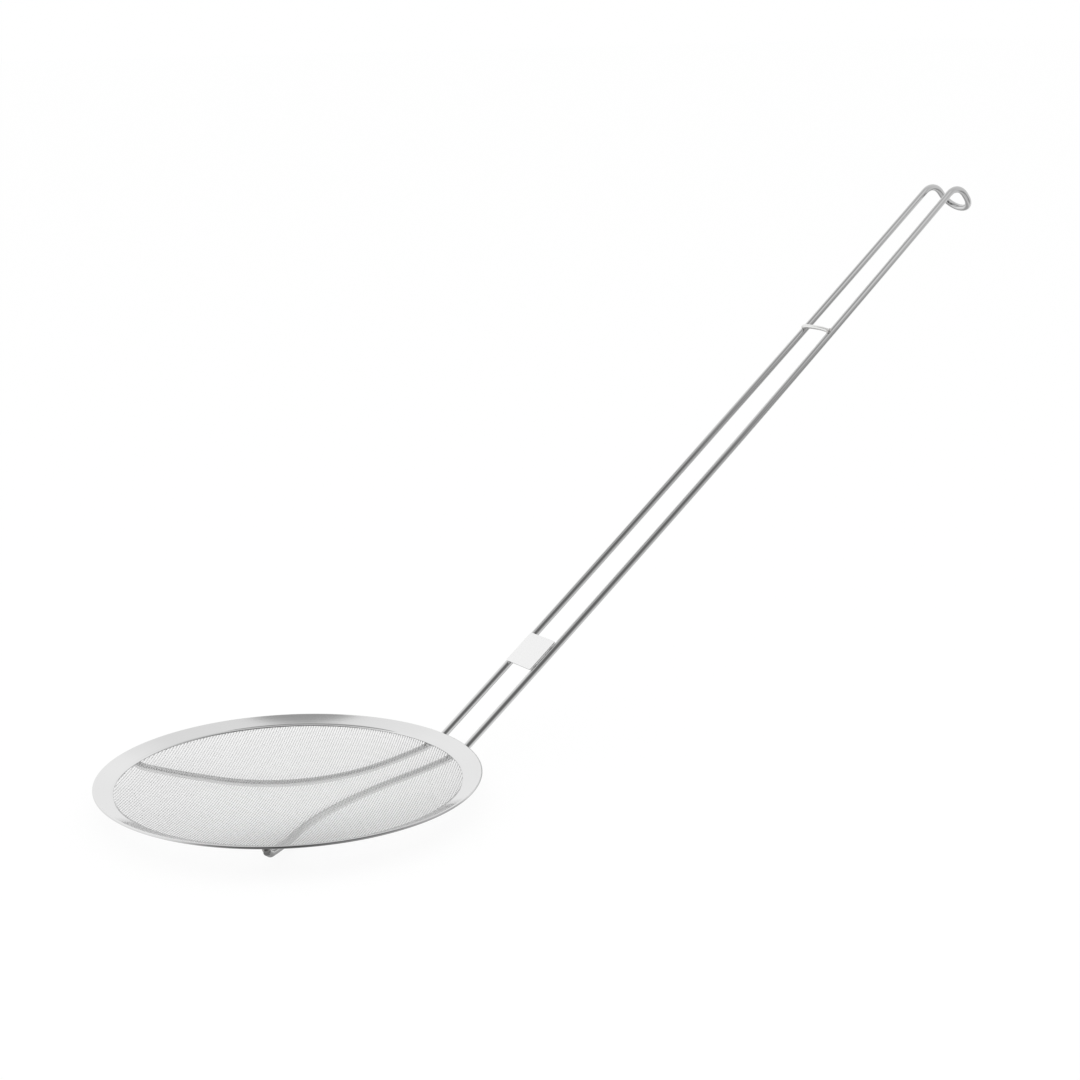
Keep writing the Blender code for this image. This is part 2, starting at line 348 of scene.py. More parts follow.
# %% The lamp
LAMP_PLACE = Vector((-0.9, -1.1, 1.5))
LAMP_SIZE = 1.4
LAMP_WATTS = 6.0

lamp_data = bpy.data.lights.new("softbox", "AREA")
lamp_data.shape = "SQUARE"
lamp_data.size = LAMP_SIZE
lamp_data.energy = LAMP_WATTS
lamp = bpy.data.objects.new("softbox", lamp_data)
lamp.location = LAMP_PLACE
lamp.rotation_euler = (rim_middle - LAMP_PLACE).to_track_quat("-Z", "Y").to_euler()
lamp.visible_glossy = False
bpy.context.scene.collection.objects.link(lamp)
print("the lamp stands", round((rim_middle - LAMP_PLACE).length, 2), "m from the rim")

# %% [markdown]
# ## Steel
#
# All of it is stainless steel, but each piece was made another way, and that shows. Sheet for the
# rim is rolled and then pressed, so its marks run round the ring. Wire is drawn through a die,
# so its marks run along it. Both marks are the same trick: noise that is stretched a long way in
# one direction. For that, every mesh carries its own `grain` coordinates, in which the first two
# numbers change quickly across the marks and the third changes slowly along them.

# %% One steel finish with its own grain
LINE_DETAIL = 5.0
CLOUD_SCALE = 38.0
CLOUD_DETAIL = 3.0
CLOUD_IN_TINT = 0.4
CLOUD_IN_MARKS = 0.6
MEAN_NOISE = 0.5
SMOOTHEST = 0.04
HAND_LOWEST = 0.10
HAND_FULL = 0.20


def steel(name, colour, roughness, grain, marks, relief, mottle=0.04, handled=0.0):
    """Bare steel. Grain scales its marks, marks is how much they vary, relief how deep they are.
    Handled is how much rougher it has become where a hand holds it."""
    material = bpy.data.materials.new(name)
    finish = Finish(material)
    place = finish.node("ShaderNodeAttribute", {"attribute_name": "grain"}, output="Vector")
    across = finish.node("ShaderNodeVectorMath", {"operation": "MULTIPLY"}, {0: place, 1: grain})
    lines = finish.node("ShaderNodeTexNoise", inputs={"Vector": across, "Scale": 1.0, "Detail": LINE_DETAIL})
    world_place = finish.node("ShaderNodeTexCoord", output="Object")
    clouded = {"Vector": world_place, "Scale": CLOUD_SCALE, "Detail": CLOUD_DETAIL}
    cloud = finish.node("ShaderNodeTexNoise", inputs=clouded)
    dark = tuple(value * (1.0 - mottle) for value in colour)
    pale = tuple(min(1.0, value * (1.0 + mottle)) for value in colour)
    share = lines * (1.0 - CLOUD_IN_TINT) + cloud * CLOUD_IN_TINT
    tint = finish.node(
        "ShaderNodeMix",
        {"data_type": "RGBA"},
        {"Factor": share, "A": (*dark, 1.0), "B": (*pale, 1.0)},
        output="Result",
    )
    cloud_marks = (cloud - MEAN_NOISE) * (marks * CLOUD_IN_MARKS)
    worn = (lines - MEAN_NOISE) * marks + cloud_marks + roughness
    if handled:
        height = finish.node("ShaderNodeSeparateXYZ", inputs={0: world_place}, output="Z")
        hand = finish.node(
            "ShaderNodeMapRange",
            {"interpolation_type": "SMOOTHSTEP"},
            {
                "Value": height,
                "From Min": HAND_LOWEST,
                "From Max": HAND_FULL,
                "To Min": 0.0,
                "To Max": handled,
            },
        )
        worn = worn + hand
    worn = worn.at_least(SMOOTHEST)
    bump = finish.node("ShaderNodeBump", inputs={"Height": lines, "Distance": relief, "Strength": 1.0})
    shader = finish.node(
        "ShaderNodeBsdfPrincipled",
        inputs={"Base Color": tint, "Metallic": 1.0, "Roughness": worn, "Normal": bump},
    )
    finish.node("ShaderNodeOutputMaterial", inputs={"Surface": shader})
    return material


# %% [markdown]
# ## Making a piece
#
# Each piece is one mesh with its grain, one finish and a place on the object. This helper does
# that for all of them: it links the mesh, lets it ride on the object, and hides the plain solid
# that it stands for.

# %% Put a piece on the object
def add_piece(name, mesh, material, stands_for=None):
    mesh.materials.append(material)
    piece = bpy.data.objects.new(name, mesh)
    bpy.context.scene.collection.objects.link(piece)
    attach(piece, "root")
    if stands_for:
        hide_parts(stands_for)
    print(name, "has", len(mesh.polygons), "faces")
    return piece


def set_grain(mesh, grain):
    attribute = mesh.attributes.new("grain", "FLOAT_VECTOR", "POINT")
    attribute.data.foreach_set("vector", np.asarray(grain, np.float32).ravel())


# %% [markdown]
# ## The handle wire's route
#
# The handle, the hook and both supports under the mesh are one wire about 1.2 m long. A bender
# would give its route as stretches with a length and a turn, and so does `walk`. The left half is
# worked out from its cut end under the rim to the middle of the hook, and mirrored. The photo
# shows the two supports bent differently, while the fixed model has them alike. The wire has to
# stay where its solid is, so each support leans sideways towards the photo by less than half the
# wire's thickness, and has its own straight, radius and spread for that. Its cut end is pressed
# up by about a millimetre towards the rim's lower leaf, as a weld would draw it in.
#
# The dish decides the heights: a support starts just under the rim's lower leaf and then follows
# the mesh, so the mesh's own height comes before the wire's.

# %% Heights of the rim's leaves, the mesh and the supports
RIM_WIDTH = 9.4 * MM
RIM_SLOPE = math.radians(20.0)
SHEET = 0.45 * MM
LOWER_LEAF_SETBACK = 1.0 * MM
MESH_THICKNESS = 0.4 * MM
MESH_DEPTH = 8.1 * MM
CLAMP_GAP = 0.2 * MM
CONTACT_GAP = 0.3 * MM
WIRE = 3.5 * MM

EDGE_RADIUS = MESH_THICKNESS / 2 + CLAMP_GAP + SHEET
INNER_RADIUS = RIM_RADIUS - RIM_WIDTH
LOWER_INNER_RADIUS = INNER_RADIUS + LOWER_LEAF_SETBACK


def clamp_height(radius):
    """Height of the middle of the space between the rim's leaves."""
    return -EDGE_RADIUS - (RIM_RADIUS - EDGE_RADIUS - radius) * math.tan(RIM_SLOPE)


def bowl_height(radius, edge_radius, edge_height, depth):
    """A dish that hangs below its edge by the depth, as a parabola does."""
    return edge_height - depth * (1 - (radius / edge_radius) ** 2)


def mesh_height(radius):
    if radius >= INNER_RADIUS:
        return clamp_height(radius)
    return bowl_height(radius, INNER_RADIUS, clamp_height(INNER_RADIUS), MESH_DEPTH)


def support_height(radius):
    under_leaf = (EDGE_RADIUS + CONTACT_GAP + WIRE / 2) / math.cos(RIM_SLOPE)
    if radius >= LOWER_INNER_RADIUS:
        return clamp_height(radius) - under_leaf
    edge = clamp_height(LOWER_INNER_RADIUS) - under_leaf
    middle = mesh_height(0.0) - MESH_THICKNESS / 2 - CONTACT_GAP - WIRE / 2
    return bowl_height(radius, LOWER_INNER_RADIUS, edge, edge - middle)


def support_point(x, y):
    return Vector((x, y, support_height(math.hypot(x, y))))


print("the mesh hangs", round(-mesh_height(0.0) / MM, 2), "mm below the rim's top")

# %% The bends of the handle
LEG_HALF_SPACING = 10.65 * MM
PARALLEL_LENGTH = 215.6 * MM
HANDLE_LENGTH = 401.8 * MM
HANDLE_RISE = math.radians(37.1)
HANDLE_BOW = math.radians(1.9)
HOOK_BEND_RADIUS = 8.6 * MM
HOOK_BEND = math.radians(87.9)
HOOK_TIP_LENGTH = 10.9 * MM
HOOK_HALF_WIDTH = 9.1 * MM
ROOT_REACH = 1.3 * MM
ROOT_BEND_RADIUS = 6.0 * MM
HOOK_BEND_LENGTH = HOOK_BEND_RADIUS * HOOK_BEND
TIP_START = HANDLE_LENGTH + HOOK_BEND_LENGTH + HOOK_TIP_LENGTH - HOOK_HALF_WIDTH


def even_steps(start, end, step):
    """Evenly spaced values after the start, up to and with the end, at most a step apart."""
    count = max(1, math.ceil((end - start) / step - 1e-6))
    return [start + (end - start) * index / count for index in range(1, count + 1)]


def walk(stretches, distance, heading):
    """Follows flat stretches of (length, turn) and gives the place and heading reached."""
    place = Vector((0.0, 0.0))
    for length, turn in stretches:
        part = min(distance, length)
        bend = turn * part / length
        chord = part * math.sin(bend / 2) / (bend / 2) if bend else part
        middle = heading + bend / 2
        place += chord * Vector((math.cos(middle), math.sin(middle)))
        heading += bend
        distance -= part
    return place, heading


root_x = RIM_RADIUS + ROOT_REACH
root_corner = Vector((root_x, 0.0, support_point(root_x, LEG_HALF_SPACING).z))


def handle_place(distance):
    """A point midway between the legs, and how steeply the handle rises there."""
    stretches = ((HANDLE_LENGTH, HANDLE_BOW), (HOOK_BEND_LENGTH, -HOOK_BEND), (HOOK_TIP_LENGTH, 0.0))
    place, rise = walk(stretches, distance, HANDLE_RISE)
    return root_corner + Vector((place.x, 0.0, place.y)), rise


def half_spacing(distance):
    """Half the distance between the legs' middles, which narrows towards the hook."""
    share = (distance - PARALLEL_LENGTH) / (TIP_START - PARALLEL_LENGTH)
    return LEG_HALF_SPACING + (HOOK_HALF_WIDTH - LEG_HALF_SPACING) * min(max(share, 0.0), 1.0)


hook_end, _ = handle_place(TIP_START + HOOK_HALF_WIDTH)
print("the hook's end lies", round(hook_end.x / MM, 1), "mm from the rim's middle")

# %% The supports under the mesh
LEFT_SUPPORT = (30.6 * MM, 107.2 * MM, math.radians(43.8))
RIGHT_SUPPORT = (35.6 * MM, 106.5 * MM, math.radians(44.0))
SUPPORT_END_SETBACK = 4.6 * MM
SUPPORT_STEP = 0.6 * MM
END_PRESSED_UP = 1.1 * MM


def support_points(straight, curve_radius, spread):
    """A support as if on the left, from its cut end under the rim to just short of the root bend."""
    end_radius = RIM_RADIUS - SUPPORT_END_SETBACK
    curve = curve_radius * spread
    stretches = ((straight, 0.0), (curve, spread), (RIM_RADIUS, 0.0))
    points = []
    for distance in even_steps(0.0, straight + curve + RIM_RADIUS, SUPPORT_STEP):
        walked, _ = walk(stretches, distance, 0.0)
        place = Vector((root_corner.x - walked.x, LEG_HALF_SPACING + walked.y))
        point = support_point(place.x, place.y)
        if place.x < 0 and place.length > INNER_RADIUS:
            point.z += END_PRESSED_UP * (place.length - INNER_RADIUS) / (end_radius - INNER_RADIUS)
        points.append(point)
        if place.x < 0 and place.length > end_radius:
            break
    return points[::-1]


left_end, right_end = (support_points(*sizes)[0] for sizes in (LEFT_SUPPORT, RIGHT_SUPPORT))
print("left cut end:", tuple(round(value / MM, 1) for value in left_end), "mm from the rim's middle")
print("right cut end, as if on the left:", tuple(round(value / MM, 1) for value in right_end), "mm")

# %% The root bend, the leg and half of the hook
BEND_STEP = math.radians(5.0)
LEG_STEP = 5.0 * MM
TIP_STEPS = 14


def root_and_leg_points():
    inside = support_point(root_corner.x - ROOT_BEND_RADIUS, LEG_HALF_SPACING)
    slope = math.atan2(root_corner.z - inside.z, ROOT_BEND_RADIUS)
    turn = HANDLE_RISE - slope
    tangent = ROOT_BEND_RADIUS * math.tan(turn / 2)
    start = root_corner - tangent * Vector((math.cos(slope), 0.0, math.sin(slope)))
    points = []
    for angle in [0.0, *even_steps(0.0, turn, BEND_STEP)]:
        place, _ = walk([(ROOT_BEND_RADIUS * turn, turn)], ROOT_BEND_RADIUS * angle, slope)
        points.append(start + Vector((place.x, LEG_HALF_SPACING, place.y)))
    distances = even_steps(tangent, HANDLE_LENGTH, LEG_STEP)
    distances += even_steps(HANDLE_LENGTH, HANDLE_LENGTH + HOOK_BEND_LENGTH, HOOK_BEND_RADIUS * BEND_STEP)
    for distance in distances:
        place, _ = handle_place(distance)
        points.append(place + Vector((0.0, half_spacing(distance), 0.0)))
    for step in range(TIP_STEPS + 1):
        angle = math.pi / 2 * step / TIP_STEPS
        place, _ = handle_place(TIP_START + HOOK_HALF_WIDTH * math.sin(angle))
        points.append(place + Vector((0.0, HOOK_HALF_WIDTH * math.cos(angle), 0.0)))
    return points


half_handle = root_and_leg_points()
left_route = support_points(*LEFT_SUPPORT) + half_handle
mirrored = support_points(*RIGHT_SUPPORT) + half_handle
right_route = [Vector((point.x, -point.y, point.z)) for point in mirrored[-2::-1]]
handle_route = left_route + right_route
wire_length = sum((after - before).length for before, after in zip(handle_route, handle_route[1:]))
print("the handle wire has", len(handle_route), "points and is", round(wire_length, 3), "m long")

# %% [markdown]
# ## Sweeping a round wire
#
# A curve object with a bevel makes a tube in one step, but it gives no coordinates for the drawn
# marks and leaves a knife edge on a cut end. The tube is built here instead. At each point a ring
# of corners is set square to the route, and each ring is turned as little as possible from the
# last one, so the tube doesn't twist. A cut end gets a narrow chamfer, and its face is matt,
# because nippers tear the steel there and nothing polishes it afterwards.

# %% Sweep a tube
SHARP_EDGE = math.radians(35.0)


def swept_tube(name, route, diameter, sides, chamfer):
    """Round wire along the route, with its grain as (across, across, along) coordinates."""
    points = [Vector(point) for point in route]
    start_way = (points[0] - points[1]).normalized()
    end_way = (points[-1] - points[-2]).normalized()
    radius = diameter / 2
    points[0] -= start_way * chamfer
    points[-1] -= end_way * chamfer
    middles = [points[0] + start_way * chamfer, *points, points[-1] + end_way * chamfer]
    radii = [radius - chamfer, *[radius] * len(points), radius - chamfer]
    ways = []
    for index in range(len(middles)):
        before = middles[max(index - 1, 0)]
        after = middles[min(index + 1, len(middles) - 1)]
        ways.append((after - before).normalized())
    side = ways[0].orthogonal().normalized()
    corners, grain, travelled = [], [], 0.0
    for index, (middle, size, way) in enumerate(zip(middles, radii, ways)):
        if index:
            side = ways[index - 1].rotation_difference(way) @ side
            travelled += (middle - middles[index - 1]).length
        side = (side - way * side.dot(way)).normalized()
        other = way.cross(side)
        for step in range(sides):
            angle = 2 * math.pi * step / sides
            out = side * math.cos(angle) + other * math.sin(angle)
            corners.append(rim_middle + middle + out * size)
            grain.append((math.cos(angle) * radius, math.sin(angle) * radius, travelled))
    faces = [tuple(range(sides))[::-1], tuple(range(len(corners) - sides, len(corners)))]
    for ring in range(len(middles) - 1):
        for step in range(sides):
            near, far = ring * sides, (ring + 1) * sides
            following = (step + 1) % sides
            faces.append((near + step, near + following, far + following, far + step))
    mesh = bpy.data.meshes.new(name)
    mesh.from_pydata(corners, [], faces)
    mesh.shade_smooth()
    mesh.set_sharp_from_angle(angle=SHARP_EDGE)
    set_grain(mesh, grain)
    return mesh


# %% The handle wire
WIRE_SIDES = 24
WIRE_CHAMFER = 0.25 * MM
wire_steel = steel(
    "wire_steel", (0.62, 0.62, 0.62), 0.06, (2600.0, 2600.0, 26.0), 0.06, 0.000006, handled=0.06
)
handle_mesh = swept_tube("handle_wire_drawn", handle_route, WIRE, WIRE_SIDES, WIRE_CHAMFER)
add_piece("handle_wire_drawn", handle_mesh, wire_steel, "handle_wire")
torn_steel = steel("torn_steel", (0.72, 0.72, 0.72), 0.50, (1500.0, 1500.0, 1500.0), 0.20, 0.00002, 0.10)
handle_mesh.materials.append(torn_steel)
# The sweep makes its two end faces first.
for cut_face in handle_mesh.polygons[:2]:
    cut_face.material_index = 1

# %% [markdown]
# ## The rim
#
# The rim starts as a strip of sheet. It is folded over along its outer edge, with the mesh's edge
# inside, and pressed flat, so it has two leaves and a round fold. Turning that section about the
# dish's middle gives the ring. The cut edges are eased a little, because a sharp corner on steel
# never catches the light. The top leaf is hollow by a few hundredths of a millimetre, as a press
# may leave it, and that is enough to bend what it mirrors. The band is thinner than in the fixed
# model, whose solids have to keep clear of each other.

# %% The rim's section, turned round the dish
FOLD_STEPS = 16
LEAF_STEPS = 6
RIM_STEPS = 240
RIM_SHARP_EDGE = math.radians(50.0)
EASE = 0.10 * MM
RIM_SHEET = 0.35 * MM
HALF_BAND = 0.65 * MM
CROWN = -0.03 * MM


def rim_section():
    """Corners of the folded strip as (radius, height), all the way round it."""
    fold_radius = RIM_RADIUS - HALF_BAND

    def leaf(side, distance, radius):
        return radius, clamp_height(radius) + side * distance / math.cos(RIM_SLOPE)

    def fold(distance, side):
        points = []
        for step in range(FOLD_STEPS + 1):
            angle = RIM_SLOPE + side * math.pi * (0.5 - step / FOLD_STEPS)
            height = clamp_height(fold_radius) + distance * math.sin(angle)
            points.append((fold_radius + distance * math.cos(angle), height))
        return points

    def crowned_leaf():
        start, end = INNER_RADIUS + EASE, fold_radius - 2 * EASE
        points = []
        for step in range(LEAF_STEPS + 1):
            share = step / LEAF_STEPS
            rise = CROWN * 4 * share * (1 - share)
            points.append(leaf(1, HALF_BAND + rise, start + (end - start) * share))
        return points

    inside = HALF_BAND - RIM_SHEET
    return [
        leaf(1, HALF_BAND - EASE, INNER_RADIUS),
        *crowned_leaf(),
        *fold(HALF_BAND, 1),
        leaf(-1, HALF_BAND, LOWER_INNER_RADIUS + EASE),
        leaf(-1, HALF_BAND - EASE, LOWER_INNER_RADIUS),
        leaf(-1, inside, LOWER_INNER_RADIUS),
        *fold(inside, -1),
        leaf(1, inside, INNER_RADIUS),
    ]


def rim_mesh():
    section = rim_section()
    count = len(section)
    corners, grain, faces = [], [], []
    for turn in range(RIM_STEPS):
        angle = 2 * math.pi * turn / RIM_STEPS
        c, s = math.cos(angle), math.sin(angle)
        for radius, height in section:
            corners.append(rim_middle + Vector((radius * c, radius * s, height)))
            grain.append((radius, height, radius * s))
        here, there = turn * count, (turn + 1) % RIM_STEPS * count
        for index in range(count):
            after = (index + 1) % count
            faces.append((here + index, there + index, there + after, here + after))
    mesh = bpy.data.meshes.new("rim_pressed")
    mesh.from_pydata(corners, [], faces)
    mesh.shade_smooth()
    mesh.set_sharp_from_angle(angle=RIM_SHARP_EDGE)
    set_grain(mesh, grain)
    return mesh


rim_steel = steel("rim_steel", (0.70, 0.70, 0.70), 0.08, (1400.0, 1400.0, 12.0), 0.05, 0.000004)
add_piece("rim_pressed", rim_mesh(), rim_steel, "rim_band")
print("the rim band is", round(2 * HALF_BAND / MM, 2), "mm thick")

# %% [markdown]
# ## The weave
#
# The dish is plain-woven wire, each strand going over one crossing strand and under the next. A
# picture of a weave on a smooth sheet would look right from one side only, so every strand is
# made. A strand's height is the dish's height plus a wave that peaks at one crossing and dips at
# the next, and the strands that cross it have the opposite wave. The photo shows fine lines in
# one direction only, so the strands that way are thick and bend over thin ones, which stay nearly
# straight. Numpy works out all the corners of a strand at once. There are four pieces, so that
# none of them grows too heavy.

# %% Weave the dish
WEAVE_PITCH = 1.25 * MM
WARP_STRAND = 0.36 * MM
WEFT_STRAND = 0.14 * MM
WARP_SHARE = 0.80
STRAND_SIDES = 6
WEAVE_TURN = math.radians(48.0)
WEAVE_RADIUS = 83.5 * MM
STEPS_PER_CROSSING = 2


def dish_heights(radii):
    flat = clamp_height(0.0) + radii * math.tan(RIM_SLOPE)
    edge = clamp_height(INNER_RADIUS)
    bowl = edge - MESH_DEPTH * (1 - (radii / INNER_RADIUS) ** 2)
    return np.where(radii < INNER_RADIUS, bowl, flat)


def strand_middles(turn, row, wave):
    """Points along one strand. The wave is its height over a crossing strand."""
    offset = (row + 0.5) * WEAVE_PITCH
    reach = math.sqrt(WEAVE_RADIUS**2 - offset**2)
    step = WEAVE_PITCH / STEPS_PER_CROSSING
    last = math.floor(reach / step)
    along = np.arange(-last, last + 1) * step
    phase = math.pi * (along / WEAVE_PITCH - 0.5 + row)
    x = along * math.cos(turn) - offset * math.sin(turn)
    y = along * math.sin(turn) + offset * math.cos(turn)
    z = dish_heights(np.hypot(x, y)) + wave * np.cos(phase)
    return np.stack([x, y, z], 1) + np.array(rim_middle), along


def strand_corners(middles, diameter):
    """A ring of corners round each point of a strand."""
    ways = np.gradient(middles, axis=0)
    ways /= np.linalg.norm(ways, axis=1, keepdims=True)
    side = np.cross(ways, (0.0, 0.0, 1.0))
    side /= np.linalg.norm(side, axis=1, keepdims=True)
    up = np.cross(side, ways)
    angles = np.arange(STRAND_SIDES) * 2 * math.pi / STRAND_SIDES
    out = np.cos(angles)[None, :, None] * side[:, None] + np.sin(angles)[None, :, None] * up[:, None]
    return (middles[:, None] + out * (diameter / 2)).reshape(-1, 3), angles


def weave_mesh(name, turn, rows, diameter, wave):
    corners, grain, loops, sizes, first = [], [], [], [], 0
    ring = np.arange(STRAND_SIDES)
    following = np.roll(ring, -1)
    for row in rows:
        middles, along = strand_middles(turn, row, wave)
        ringed, angles = strand_corners(middles, diameter)
        corners.append(ringed)
        around = np.tile(angles, len(middles))
        grain.append(np.stack([np.cos(around), np.sin(around), np.repeat(along, STRAND_SIDES)], 1))
        starts = first + np.arange(len(middles) - 1)[:, None] * STRAND_SIDES
        onwards = starts + STRAND_SIDES
        quads = np.stack([starts + ring, onwards + ring, onwards + following, starts + following], 2)
        quads = quads.reshape(-1, 4)
        end = first + (len(middles) - 1) * STRAND_SIDES
        loops += [quads.ravel(), first + ring, end + ring[::-1]]
        sizes += [np.full(len(quads), 4), np.array([STRAND_SIDES, STRAND_SIDES])]
        first += len(ringed)
    mesh = bpy.data.meshes.new(name)
    corners, loops, sizes = np.concatenate(corners), np.concatenate(loops), np.concatenate(sizes)
    mesh.vertices.add(len(corners))
    mesh.vertices.foreach_set("co", corners.astype(np.float32).ravel())
    mesh.loops.add(len(loops))
    mesh.loops.foreach_set("vertex_index", loops.astype(np.int32))
    mesh.polygons.add(len(sizes))
    mesh.polygons.foreach_set("loop_start", (np.cumsum(sizes) - sizes).astype(np.int32))
    mesh.update(calc_edges=True)
    mesh.validate()
    mesh.shade_smooth()
    set_grain(mesh, np.concatenate(grain))
    return mesh


warp_steel = steel("warp_steel", (0.72, 0.72, 0.72), 0.24, (3.0, 3.0, 120.0), 0.08, 0.000004)
weft_steel = steel("weft_steel", (0.90, 0.90, 0.90), 0.30, (3.0, 3.0, 120.0), 0.08, 0.000004)
crossing = (WARP_STRAND + WEFT_STRAND) / 2
families = (
    ("warp", WEAVE_TURN, WARP_STRAND, WARP_SHARE * crossing, warp_steel),
    ("weft", WEAVE_TURN + math.pi / 2, WEFT_STRAND, (1 - WARP_SHARE) * crossing, weft_steel),
)
most_rows = math.floor(WEAVE_RADIUS / WEAVE_PITCH - 0.5)
halves = {"left": range(0, most_rows), "right": range(-most_rows, 0)}
for family, turn, diameter, wave, strand_steel in families:
    for half_name, rows in halves.items():
        mesh = weave_mesh(f"{family}_{half_name}", turn, rows, diameter, wave)
        add_piece(f"{family}_{half_name}", mesh, strand_steel, "mesh_dish")

# %% [markdown]
# ## The cross wire and the plate
#
# A thinner wire lies across the legs near the hook and keeps them apart. It is welded at both
# ends and bows up a little between them. The fixed one is even, but in the photo it sits slightly
# to the right and that end has sunk deeper into its weld, so the one here does too. Near the rim
# a small plate lies across the legs. It is a flat piece of sheet with small round corners and
# eased edges, as shearing and tumbling would leave them.

# %% The cross wire
CROSS_WIRE = 2.2 * MM
CROSS_WIRE_AT = 293.6 * MM
CROSS_REACH = 9.9 * MM
CROSS_SHIFT = -0.6 * MM
CROSS_DROP = 0.2 * MM
LEFT_SINK = 0.65 * MM
RIGHT_SINK = 1.6 * MM
CROSS_STEPS = 24
CROSS_SIDES = 16
CROSS_CHAMFER = 0.12 * MM


def on_legs(distance, thickness):
    """The place and tilt of a piece that lies on top of the legs."""
    place, rise = handle_place(distance)
    square = Vector((-math.sin(rise), 0.0, math.cos(rise)))
    lift = WIRE / 2 + CONTACT_GAP + thickness / 2
    return place + square * lift, Vector((math.cos(rise), 0.0, math.sin(rise))), square


cross_middle, cross_along, cross_up = on_legs(CROSS_WIRE_AT, CROSS_WIRE)
cross_half = half_spacing(CROSS_WIRE_AT)
cross_route = []
for across in [-1.0, *even_steps(-1.0, 1.0, 2 / CROSS_STEPS)]:
    drop = CROSS_DROP + (LEFT_SINK if across > 0 else RIGHT_SINK) * abs(across) ** 3
    along_cross = Vector((0.0, CROSS_SHIFT + CROSS_REACH * across, 0.0))
    cross_route.append(cross_middle + along_cross - cross_up * drop)
cross_steel = steel("cross_steel", (0.76, 0.76, 0.75), 0.12, (2600.0, 2600.0, 40.0), 0.08, 0.000008)
cross_mesh = swept_tube("cross_wire_drawn", cross_route, CROSS_WIRE, CROSS_SIDES, CROSS_CHAMFER)
add_piece("cross_wire_drawn", cross_mesh, cross_steel, "cross_wire")

# %% The plate
PLATE_AT = 59.3 * MM
PLATE_LENGTH = 19.2 * MM
PLATE_INSET = 0.2 * MM
PLATE_SHEET = 0.6 * MM
PLATE_CORNER = 1.0 * MM
PLATE_EASE = 0.12 * MM
CORNER_SEGMENTS = 8
EASE_SEGMENTS = 3


def plate_mesh():
    bm = bmesh.new()
    bmesh.ops.create_cube(bm, size=1.0)
    width = 2 * (half_spacing(PLATE_AT) - PLATE_INSET)
    bmesh.ops.scale(bm, vec=(PLATE_LENGTH, width, PLATE_SHEET), verts=bm.verts)

    def is_upright(edge):
        return abs(edge.verts[0].co.z - edge.verts[1].co.z) > PLATE_SHEET / 2

    upright = [edge for edge in bm.edges if is_upright(edge)]
    rounded = {"segments": CORNER_SEGMENTS, "profile": 0.5, "affect": "EDGES"}
    bmesh.ops.bevel(bm, geom=upright, offset=PLATE_CORNER, **rounded)
    level = [edge for edge in bm.edges if not is_upright(edge)]
    eased = {"segments": EASE_SEGMENTS, "profile": 0.5, "affect": "EDGES"}
    bmesh.ops.bevel(bm, geom=level, offset=PLATE_EASE, **eased)
    grain = [tuple(vert.co) for vert in bm.verts]
    middle, along, up = on_legs(PLATE_AT, PLATE_SHEET)
    placed = Matrix((along, (0.0, 1.0, 0.0), up)).transposed().to_4x4()
    placed.translation = rim_middle + middle
    bm.transform(placed)
    mesh = bpy.data.meshes.new("plate_sheared")
    bm.to_mesh(mesh)
    bm.free()
    mesh.shade_smooth()
    mesh.set_sharp_from_angle(angle=SHARP_EDGE)
    # The two broad faces are shaded flat, so the eased edges don't bend what they mirror.
    for face in mesh.polygons:
        face.use_smooth = face.area < PLATE_LENGTH * PLATE_SHEET
    set_grain(mesh, [(y, z, x) for x, y, z in grain])
    return mesh


plate_steel = steel("plate_steel", (0.80, 0.80, 0.80), 0.20, (3800.0, 3800.0, 90.0), 0.06, 0.000003, 0.02)
add_piece("plate_sheared", plate_mesh(), plate_steel, "handle_plate")

# %% [markdown]
# ## Welds
#
# The pieces hold together by spot welds. Where two round wires or a wire and a sheet are pressed
# together and heated, a little metal squeezes out and sets as a bead. Each bead here is a small
# sphere that is flattened and made uneven by noise, half sunk between the two pieces it joins.

# %% Weld beads
# Each bead: its half lengths along, across and up.
END_BEAD = (1.6 * MM, 1.7 * MM, 1.0 * MM)
END_BEAD_OUT = 2.2 * MM
END_BEAD_UP = 1.9 * MM
ROOT_BEAD = (1.7 * MM, 1.3 * MM, 0.45 * MM)
ROOT_BEADS_AT = (82.5 * MM, 86.5 * MM)
ROOT_BEAD_UP = 1.7 * MM
CROSS_BEAD = (1.1 * MM, 1.0 * MM, 0.6 * MM)
MELTED_MORE = 1.5
PLATE_BEAD = (1.5 * MM, 0.6 * MM, 0.3 * MM)
PLATE_BEADS_AT = (-6.0 * MM, 6.0 * MM)
PLATE_BEAD_INSET = 1.6 * MM
PLATE_BEAD_DROP = 0.25 * MM
UNEVENNESS = 0.22
LUMP_SCALE = 1.3
SEED_SHIFT = (7.1, 3.3)
SEEDS_PER_SIDE = 11


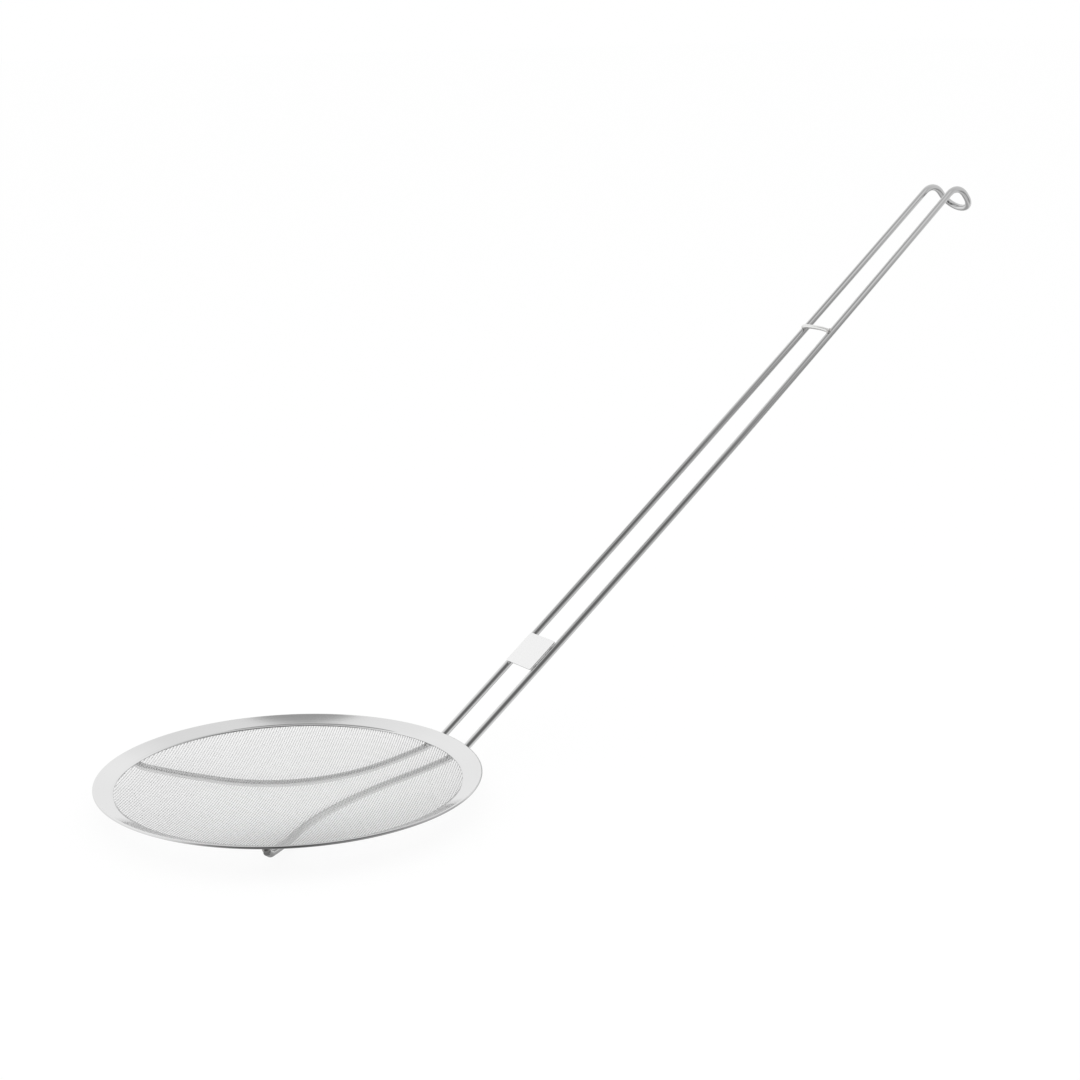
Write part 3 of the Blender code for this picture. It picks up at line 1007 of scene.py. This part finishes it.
def add_bead(bm, middle, along, up, sizes, seed):
    """One uneven bead of the given half lengths. The seed chooses its lumps."""
    made = bmesh.ops.create_icosphere(bm, subdivisions=3, radius=1.0)["verts"]
    across = up.cross(along).normalized()
    shift = Vector((seed * SEED_SHIFT[0], seed * SEED_SHIFT[1], 0.0))
    for vert in made:
        out = vert.co.copy()
        uneven = 1.0 + UNEVENNESS * noise.noise(out * LUMP_SCALE + shift)
        local = Vector((out.x * sizes[0], out.y * sizes[1], out.z * sizes[2])) * uneven
        vert.co = rim_middle + middle + along * local.x + across * local.y + up * local.z


def weld_mesh():
    bm = bmesh.new()
    seed = 0
    for side, end in ((-1.0, handle_route[-1]), (1.0, handle_route[0])):
        out = Vector((end.x, end.y, 0.0)).normalized()
        up = Vector((0.0, 0.0, 1.0))
        spot = end + out * END_BEAD_OUT + up * END_BEAD_UP
        add_bead(bm, spot, out, up, END_BEAD, seed)
        for reach in ROOT_BEADS_AT:
            root = support_point(reach, side * LEG_HALF_SPACING)
            way = Vector((1.0, 0.0, 0.0))
            add_bead(bm, root + up * ROOT_BEAD_UP, way, up, ROOT_BEAD, seed + 1)
        foot = cross_middle + Vector((0.0, side * cross_half, 0.0)) - cross_up * (CROSS_WIRE / 2)
        melted = 1.0 if side > 0 else MELTED_MORE
        cross_bead = tuple(size * melted for size in CROSS_BEAD)
        add_bead(bm, foot, cross_along, cross_up, cross_bead, seed + 2)
        for place in PLATE_BEADS_AT:
            spot, along, square = on_legs(PLATE_AT + place, 0.0)
            spot += Vector((0.0, side * (half_spacing(PLATE_AT) - PLATE_BEAD_INSET), 0.0))
            spot -= square * PLATE_BEAD_DROP
            add_bead(bm, spot, along, square, PLATE_BEAD, seed + 3)
        seed += SEEDS_PER_SIDE
    mesh = bpy.data.meshes.new("weld_beads")
    bm.to_mesh(mesh)
    bm.free()
    mesh.shade_smooth()
    set_grain(mesh, [tuple(vert.co) for vert in mesh.vertices])
    return mesh


weld_steel = steel("weld_steel", (0.66, 0.65, 0.64), 0.30, (900.0, 900.0, 900.0), 0.15, 0.00003, 0.10)
add_piece("weld_beads", weld_mesh(), weld_steel)

# %% [markdown]
# ## Checking the size
#
# The dressed object is meant to stay inside the box of the fixed model. The last cell prints how far
# each corner of its box has moved from the fixed one.

# %% Compare the two boxes and finish
dressed_box = [list(corner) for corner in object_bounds()]
for corner in (0, 1):
    grown = [round((dressed_box[corner][axis] - fixed_box[corner][axis]) / MM, 2) for axis in range(3)]
    print("corner", corner, "moved by", grown, "mm")
